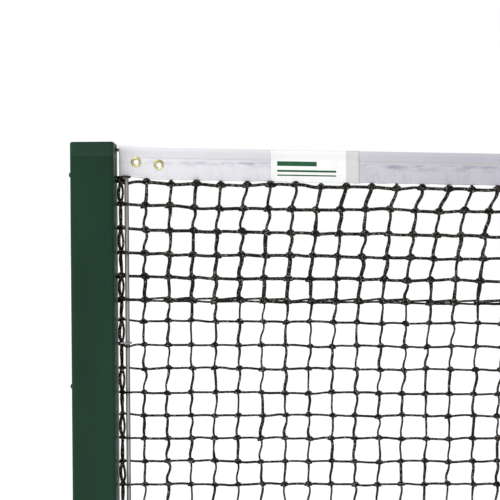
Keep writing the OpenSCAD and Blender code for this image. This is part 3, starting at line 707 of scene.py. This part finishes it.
def add_netting(twine):
    """The whole mesh, in lengths whose knots are drawn closely at the ends and plainly in between."""
    grid = knot_grid()
    edges = [0, FINE_LEFT // 2, FINE_LEFT]
    middle = np.linspace(FINE_LEFT, COLUMNS - FINE_RIGHT, 7).round().astype(int)
    edges += list(middle[1:]) + [COLUMNS - FINE_RIGHT // 2, COLUMNS]
    made = []
    for number, (first, last) in enumerate(zip(edges[:-1], edges[1:])):
        fine = last <= FINE_LEFT or first >= COLUMNS - FINE_RIGHT
        piece = Piece()
        add_rows(piece, grid, first, last, fine)
        add_columns(piece, grid, first, last, fine)
        add_tops(piece, grid, first, last)
        for row in range(ROWS + 1):
            size = HEAVY_KNOT if is_heavy(row) else THIN_KNOT
            add_knots(piece, grid[first:last, row], size, fine)
        made.append(piece.make(f"netting_{number}", twine))
    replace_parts(made[0], "netting_upper_left", "netting_lower_left")
    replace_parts(made[-1], "netting_upper_right", "netting_lower_right")
    return grid


def add_border(grid, side, twine):
    """The net's edge beside a post: knots on a doubled cord, and rows that weave round the side rod."""
    rows = np.arange(ROWS + 1)
    x = np.full(ROWS + 1, side * BORDER_X)
    z = row_z(x, rows) + np.resize(BORDER_TIES, ROWS + 1) * MM
    edge = np.stack([x, np.full(ROWS + 1, BORDER_Y), z], -1)
    piece = Piece()
    top = np.array([[side * BORDER_X, 0, edge[0, 2] + 8 * MM]])
    bottom = np.array([[side * BORDER_X, 0, z[-1] - 4 * MM]])
    posts = np.concatenate([top, edge, bottom])
    spans = np.arange(len(posts) - 1)
    apart = np.where(spans % 2 == 1, BORDER_OPEN, BORDER_SHUT)  # every other span of the cord stands open
    apart[[0, -1]] = BORDER_SHUT
    for out in (-1, 1):
        bow = np.stack([out * side * apart, 0 * spans + out * 0.6, 0 * spans], -1) * MM
        sway = scatter(len(bow), 0.5, 0.2, 0)
        r = BORDER_R * (THICK if out > 0 else SLIM)
        piece.add(*tubes(strands(posts[:-1], posts[1:], 9, bow, sway), r, r, 8))
    near = grid[0 if side < 0 else -1]
    t = np.linspace(0, 1, 22)[None, :, None]
    paths = edge[:, None] + (near - edge)[:, None] * t
    off = (paths[..., 0] - side * ROD_X) / (8 * MM)
    way = np.where(rows % 2 == 1, -1, 1)[:, None]
    paths[..., 1] = paths[..., 1] * (1 - np.exp(-(off**2))) + way * ROD_PASS * np.exp(-(off**2))
    hooked = (rows % ROWS_PER_HOOK == 0)[:, None]
    paths[..., 2] -= np.where(hooked, HOOK_SAG, 0.0) * np.exp(-((off * 0.7) ** 2))
    r = np.where(is_heavy(rows), HEAVY_R, THIN_R)[:, None] * 0.95
    piece.add(*tubes(paths, r, r, 8))
    for heavy, size in ((True, HEAVY_KNOT), (False, THIN_KNOT)):
        add_knots(piece, edge[is_heavy(rows) == heavy], size * 0.92, True)
    name = "left" if side < 0 else "right"
    made = piece.make(f"{name}_border", twine)
    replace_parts(made, f"{name}_side_cord")


def add_bottom_cord(grid, twine):
    """The cord along the foot of the net, and the lacing that ties each column to it."""
    x = np.linspace(-BORDER_X, BORDER_X, 2 * COLUMNS)
    below = THIN_R + CORD_R
    foot = FIRST_ROW - ROW_PITCH * ROWS
    sag = waves(5, 0.2, 1.2, 11)
    z = lowered(foot, x) - below + sag(x) * 0.4 * MM
    line = np.stack([x, sag(x + 3) * 0.5 * MM, z], -1)
    piece = Piece()
    piece.add(*tubes(line[None], CORD_R, CORD_R, 10))
    columns = grid[:, -1]
    columns = columns[np.abs(columns[:, 0]) > STRAP_CLEAR]
    angle = np.linspace(0, 2 * math.pi, 10)
    middle = columns - np.array((0, 0, 1)) * (below / 2)
    loop = np.stack([np.linspace(-1.5, 1.5, 10), 4.1 * np.sin(angle), 5.6 * np.cos(angle)], -1) * MM
    piece.add(*tubes(middle[:, None] + loop[None], LACING_R, LACING_R, 6))
    made = piece.make("bottom_cord_laced", twine)
    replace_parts(made, "bottom_cord")


# --- headband ---------------------------------------------------------------------------------

CLOTH_T = 1.2 * MM
HEM_SEAM = -14  # mm from the cable's centre, where the hem's two sides are sewn together
EDGE_SEAM = -48.5  # mm, of the seam that closes the band's edge
FRONT_PROFILE = (  # half the thickness and the height, in mm, from the bottom edge up to the hem
    (1.25, -53.4), (1.15, -51.2), (0.72, EDGE_SEAM), (1.15, -46), (1.45, -42), (1.6, -37.5), (1.7, -33),
    (1.7, -28.5), (1.6, -24), (1.4, -20), (1.1, -17.5), (0.8, -15.6), (0.66, HEM_SEAM), (0.95, -12),
    (1.7, -9.6), (2.6, -7.2), (3.5, -4.8), (4.4, -2.4),
)  # fmt: skip
HEM_CENTRE_R = HEM_R / MM - CLOTH_T / MM / 2


def band_profile():
    """Half thickness, with its sign, and height in mm along the folded cloth, from edge to edge."""
    arc = [
        (-HEM_CENTRE_R * math.cos(a), HEM_CENTRE_R * math.sin(a))
        for a in np.linspace(0, math.pi, 9)
    ]
    front = [(-y, z) for y, z in FRONT_PROFILE]
    back = [(y, z) for y, z in reversed(FRONT_PROFILE)]
    return np.array(front + arc + back)


broad, ripple = waves(7, 0.09, 0.5, 1), waves(9, 0.03, 0.09, 2)
pucker, slant = waves(12, 0.007, 0.02, 3), waves(9, 0.02, 0.06, 4)


def looseness(x, z):
    """How freely the cloth swings at x and z mm from the cable: hardly by its eyelets and its middle."""
    from_eyelets = np.interp(BAND_END - np.abs(x), (90 * MM, 170 * MM), (0.12, 1))
    from_strap = np.clip(np.abs(x) / 0.1 - 0.3, 0.15, 1)
    return np.clip(-z / 20, 0, 1) * (from_eyelets * from_strap)


def band_swing(x, z):
    """How far the cloth's middle stands behind the cable, in mm."""
    return looseness(x, z) * (0.9 * broad(x) + 0.35 * ripple(x))


def band_surface(x, profile):
    """Points (stations, profile points, 3) of the headband's cloth, hung on the cable and puckered."""
    x, y, z = x[:, None], profile[None, :, 0], profile[None, :, 1]
    from_end = BAND_END - np.abs(x)
    loose = looseness(x, z)
    sewn = np.exp(-(((z - HEM_SEAM) / 5) ** 2)) + 0.7 * np.exp(-(((z - EDGE_SEAM) / 4) ** 2))
    drawn = loose * slant(x + 0.7 * MM * z) * np.exp(-(((z + 30) / 16) ** 2))
    crease = 0.22 * sewn * pucker(x) + 0.3 * drawn
    lift = 6 * np.exp(-((from_end / (35 * MM)) ** 2)) * np.clip(-z / 54, 0, 1) ** 1.5
    lift = lift + 3 * np.exp(-((from_end / (30 * MM)) ** 2)) * np.clip(1 + z / 54, 0, 1)
    out_y = y + np.sign(y) * np.maximum(crease, 0.55 - np.abs(y)) + band_swing(x, z)
    out_z = z + lift + 0.35 * loose * ripple(x + 1)
    level = cable_z(x)
    return np.stack(np.broadcast_arrays(x, out_y * MM, level + out_z * MM), -1)


def stations():
    """Places along the headband, closer together where the eyelets and the label are."""
    fine_left = np.arange(-BAND_END, -BAND_END + 0.85, 3 * MM)
    fine_right = np.arange(BAND_END - 0.2, BAND_END, 4 * MM)
    middle = np.linspace(fine_left[-1], fine_right[0], 560)[1:-1]
    return np.concatenate([fine_left, middle, fine_right, [BAND_END]])


PUNCH_R = 5.6 * MM  # of the holes that the eyelets fill


def eyelet_holes(grid):
    """The cells of the headband that are left, once its eyelets have been punched."""
    cells = (grid[:-1, :-1] + grid[1:, :-1] + grid[1:, 1:] + grid[:-1, 1:]) / 4
    keep = np.ones(cells.shape[:2], bool)
    for side in (-1, 1):
        for at, down in zip(EYELET_AT, EYELET_DROP):
            x = side * (POST_X - at)
            keep &= np.hypot(cells[..., 0] - x, cells[..., 2] - (cable_z(x) - down)) > PUNCH_R
    return keep


EYELET_SECTION = (  # radius, and depth from the cloth's face out towards the front, in mm
    (5.2, -1.2), (9.6, -1.2), (9.9, -0.3), (9.6, 0.5), (8.8, 1.2), (7.6, 1.5), (6.3, 1.3), (5.2, 0.5),
    (4.6, -0.6), (4.5, -1.9),
)  # fmt: skip
EYELET_FACE = 2.2  # mm from the band's middle to its face beside the eyelets
EYELET_SIDES = 40


def add_eyelets(brass):
    """Rolled brass eyelets through the headband's ends, with a rounded flange on each face."""
    section = [(r, -EYELET_FACE - out) for r, out in EYELET_SECTION]
    section = np.array(section + [(r, -y) for r, y in reversed(section)])
    sides, n = EYELET_SIDES, len(section)
    angle = np.linspace(0, 2 * math.pi, sides, endpoint=False)[:, None]
    r, y = section[None, :, 0], section[None, :, 1] + 0 * angle
    ring = np.stack([r * np.cos(angle), y, r * np.sin(angle)], -1) * MM
    i, j = np.meshgrid(np.arange(sides), np.arange(n), indexing="ij")
    here, beside, after = i * n, (i + 1) % sides * n, (j + 1) % n
    quads = np.stack([here + j, beside + j, beside + after, here + after], -1).reshape(-1, 4)
    piece = Piece()
    for side in (-1, 1):
        for at, down in zip(EYELET_AT, EYELET_DROP):
            x = side * (POST_X - at)
            piece.add(ring + np.array((x, band_swing(x, -down / MM) * MM, cable_z(x) - down)), quads)
    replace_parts(piece.make("headband_eyelets", brass), "band_eyelets")


STITCH_PITCH = 5 * MM
STITCH_SHARE = 0.66  # of its pitch that a stitch covers


def add_stitches(name, lines, finish, radius=0.3 * MM):
    """Short raised stitches along lines, given as (starts, ends) of every pitch."""
    piece = Piece()
    for starts, ends in lines:
        t = np.linspace((1 - STITCH_SHARE) / 2, (1 + STITCH_SHARE) / 2, 3)[None, :, None]
        paths = starts[:, None] + (ends - starts)[:, None] * t
        size = np.array((0.5, 1, 0.5)) * radius
        piece.add(*tubes(paths, size, size, 4))
    return piece.make(name, finish)


def add_headband(cloth, thread):
    """One length of cloth, folded over the cable and sewn along its hem and its edge."""
    profile = band_profile()
    grid = band_surface(stations(), profile)
    piece = Piece()
    piece.add(*shell(grid, CLOTH_T, eyelet_holes(grid)))
    band = piece.make("headband", cloth)
    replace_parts(band, "headband_left", "headband_right")
    x = np.arange(-BAND_END + 3 * MM, BAND_END - 3 * MM, STITCH_PITCH)
    for name, way in (("front", -1), ("back", 1)):
        lines = []
        for seam in (HEM_SEAM, EDGE_SEAM):
            seen = np.array([(way * 0.7, seam)])
            line = band_surface(x, seen)[:, 0] + np.array((0, way * (CLOTH_T / 2 + 0.05 * MM), 0))
            lines.append((line[:-1], line[1:]))
        add_stitches(f"headband_stitches_{name}", lines, thread)
    for side in (-1, 1):
        add_end_binding(side, cloth)


BINDING_W = 13 * MM


def add_end_binding(side, cloth):
    """The tape folded round the headband's end and sewn through, which stiffens it beside the eyelets."""
    heights = np.linspace(-52.6, -12.5, 17)
    across = np.array([BINDING_W, 9 * MM, 5 * MM, 1.5 * MM, 0, 0, 1.5 * MM, 5 * MM, 9 * MM, BINDING_W])
    away = np.array([-1.0] * 4 + [-0.6, 0.6] + [1.0] * 4)
    half = np.interp(heights, [z for _, z in FRONT_PROFILE], [y for y, _ in FRONT_PROFILE])
    x = side * (BAND_END - across)
    grid = np.zeros((len(heights), len(across), 3))
    for i, (height, y) in enumerate(zip(heights, half)):
        base = band_surface(x, np.array([(y, height)]))[:, 0]
        middle = base[:, 1] - y * MM
        grid[i, :, 0] = x - side * (0.45 * MM - across * 0.03)
        grid[i, :, 1] = middle + away * (y + 0.95) * MM
        grid[i, :, 2] = base[:, 2]
    grid = grid if side < 0 else grid[:, ::-1]
    piece = Piece()
    piece.add(*shell(grid, 0.6 * MM))
    name = "left" if side < 0 else "right"
    return piece.make(f"headband_binding_{name}", cloth)


def add_label(thread):
    """A coated label over the headband's front, sewn on round its edge."""
    left = -POST_X + LABEL_FROM
    right = left + LABEL_W
    profile = band_profile()
    profile = profile[profile[:, 0] < 0.5]
    profile[0, 1] -= 1.2
    x = np.linspace(left, right, 60)
    grid = band_surface(x, profile)
    front = unit(np.cross(np.gradient(grid, axis=0), np.gradient(grid, axis=1)))
    edge = np.minimum(x - left, right - x)[:, None]
    off = CLOTH_T / 2 + 0.4 * MM + 0.5 * MM * np.exp(-edge / (8 * MM))
    grid = grid + front * off[..., None]
    low = (left, grid[0, 0, 2] + SLOPE * left)
    high = (right, grid[0, -1, 2] + SLOPE * left)
    piece = Piece()
    piece.add(*shell(grid, 0.6 * MM))
    finish = label_print(low, high)
    label = piece.make("band_label_sewn", finish)
    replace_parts(label, "band_label")
    inset = 2
    lines = []
    face = grid + front * 0.35 * MM
    for rim in (face[inset], face[-1 - inset], face[:, inset], face[:, -1 - inset]):
        lines.append((rim[:-1], rim[1:]))
    stitches = add_stitches("band_label_stitches", lines, thread, 0.22 * MM)


# --- centre strap -----------------------------------------------------------------------------

LEG_STEPS = 60  # points up each leg of the webbing
SLIDE_ROOM = 20 * MM  # of flat webbing past the slide's middle at each end of its travel
SLACK_GROWS = 60 * MM  # along which the webbing goes from flat to slack
BAR_ROUND_R = 3.3 * MM  # inside of the webbing's loop round the ring's bar


def add_strap(webbing, thread):
    """One loop of webbing: over the headband, down both sides of the net and round the ring's bar."""
    bar_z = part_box("strap_ring")[1].z - RING_BAR_R
    half_t = STRAP_T / 2
    top_r, bar_r = STRAP_TOP_R + half_t, BAR_ROUND_R + half_t
    leg_top = CABLE_MID + HEM_R - LEG_TOP_DROP
    slide_z = centre("strap_slide").z
    leg = LEG_Y + half_t
    over = [(-top_r * math.cos(a), CABLE_MID + top_r * math.sin(a)) for a in np.linspace(0, math.pi, 17)]
    under = [(bar_r * math.cos(a), bar_z - bar_r * math.sin(a)) for a in np.linspace(0, math.pi, 13)]
    front = [(-leg, z) for z in np.linspace(LEG_BOTTOM, leg_top, LEG_STEPS)]
    back = [(-y, z) for y, z in reversed(front)]
    path = np.array(front + over + back + under)
    x = np.linspace(-STRAP_W / 2, STRAP_W / 2, 15)
    flutter = waves(5, 0.08, 0.4, 21)
    slack = np.sin(np.clip((path[:, 1] - LEG_BOTTOM) / (leg_top - LEG_BOTTOM), 0, 1) * math.pi)
    from_slide = np.abs(path[:, 1] - slide_z)
    slack *= np.clip((from_slide - SLIDE_TRAVEL - SLIDE_ROOM) / SLACK_GROWS, 0, 1)
    face = np.sign(path[:, 0])
    push = np.abs(flutter(path[:, 1] + 0.3 * face)) * slack * 1.2 * MM * face
    grid = np.zeros((len(x), len(path), 3))
    grid[..., 0] = x[:, None]
    cup = 0.5 * MM * (1 - (2 * x / STRAP_W) ** 2)[:, None] * slack[None] * face[None]
    grid[..., 1] = path[:, 0] + push + cup
    grid[..., 2] = path[:, 1]
    piece = Piece()
    piece.add(*shell(grid, STRAP_T, closed=True))
    strap = piece.make("centre_strap_webbing", webbing)
    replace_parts(strap, "centre_strap")
    lines = []
    low, high, edge = LEG_BOTTOM + 8 * MM, LEG_BOTTOM + 50 * MM, STRAP_W / 2 - 5 * MM
    corners = ((-edge, low), (edge, low), (edge, high), (-edge, high))
    runs = ((0, 1), (1, 2), (2, 3), (3, 0), (0, 2), (1, 3))
    mid_leg = np.abs(grid[len(x) // 2, :LEG_STEPS, 1])
    for way in (-1, 1):
        for a, b in runs:
            steps = np.linspace(0, 1, 13)[:, None]
            flat = np.array(corners[a]) * (1 - steps) + np.array(corners[b]) * steps
            y = np.interp(flat[:, 1], path[:LEG_STEPS, 1], mid_leg) + half_t + 0.1 * MM
            line = np.stack([flat[:, 0], way * y, flat[:, 1]], -1)
            lines.append((line[:-1], line[1:]))
    stitches = add_stitches("centre_strap_stitches", lines, thread, 0.45 * MM)


# --- floor and the CAD's own pieces -----------------------------------------------------------


def add_floor():
    """A wide floor at the court's height, open where the centre anchor goes down into the ground."""
    sides = 48
    radii = [ANCHOR_BORE_R, 60 * MM, 0.5, 4, 20, 80, 300]
    angle = np.linspace(0, 2 * math.pi, sides, endpoint=False)
    rings = [np.stack([r * np.cos(angle), r * np.sin(angle), 0 * angle], -1) for r in radii]
    k = np.arange(sides)
    after = (k + 1) % sides
    piece = Piece()
    for inner_ring, outer_ring in zip(rings[:-1], rings[1:]):
        quads = np.stack([k, k + sides, after + sides, after], -1)
        piece.add(np.concatenate([inner_ring, outer_ring]), quads)
    points, quads = np.concatenate(piece.points), np.concatenate(piece.quads)
    mesh = bpy.data.meshes.new("floor")
    mesh.from_pydata(points.tolist(), [], quads.tolist())
    mesh.materials.append(floor_finish().material)
    floor = bpy.data.objects.new("floor", mesh)
    bpy.context.scene.collection.objects.link(floor)


def finish_cad(finishes):
    """Gives each CAD piece the finish of its slot in the record."""
    for part in frame["record"]["subparts"]:
        node = frame["nodes"][part["node"]]
        material = finishes[part["material_slot"]].material
        node.data.materials.clear()
        node.data.materials.append(material)


bpy.context.scene.view_settings.view_transform = "Standard"
add_camera()
add_world()
add_sun("key", 1.5, 40, -38, 48, (1, 0.985, 0.96))
add_sun("fill", 0.7, 60, 150, 40, (0.95, 0.97, 1))
add_floor()

HEAD_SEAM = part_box("left_post_head")[0].z
band_cloth = band_fabric()
thread = sewing_thread()
brass = metal("brass", "#ece5b2", "#aaa268", 0.36)
webbing = strap_webbing()
twine = twine_finish()
finish_cad(
    {
        "post_coat": powder_coat("post_coat", "#123423", "#193b2a"),
        "head_coat": powder_coat("head_coat", "#1d3b2c", "#264434", HEAD_SEAM),
        "galvanised": galvanised_metal(),
        "steel": metal("steel", "#c4c6c8", "#8d9092", 0.3, (1, 1, 0.08)),
        "dark_steel": metal("dark_steel", "#3c3e40", "#232425", 0.42),
        "pulley_black": moulded("pulley_black", "#2a2a2b", 0.45),
        "cable_coat": vinyl_cable(),
        "band_fabric": band_cloth,
        "label_fabric": band_cloth,
        "twine": twine,
        "brass": brass,
        "rod_grey": glass_fibre_rod(),
        "strap_web": webbing,
        "grip_black": moulded("grip_black", "#1f2021", 0.55, 0.9 * MM),
    }
)
knots = add_netting(twine)
for side in (-1, 1):
    add_border(knots, side, twine)
add_bottom_cord(knots, twine)
add_headband(band_cloth, thread)
add_eyelets(brass)
add_label(thread)
add_strap(webbing, thread)
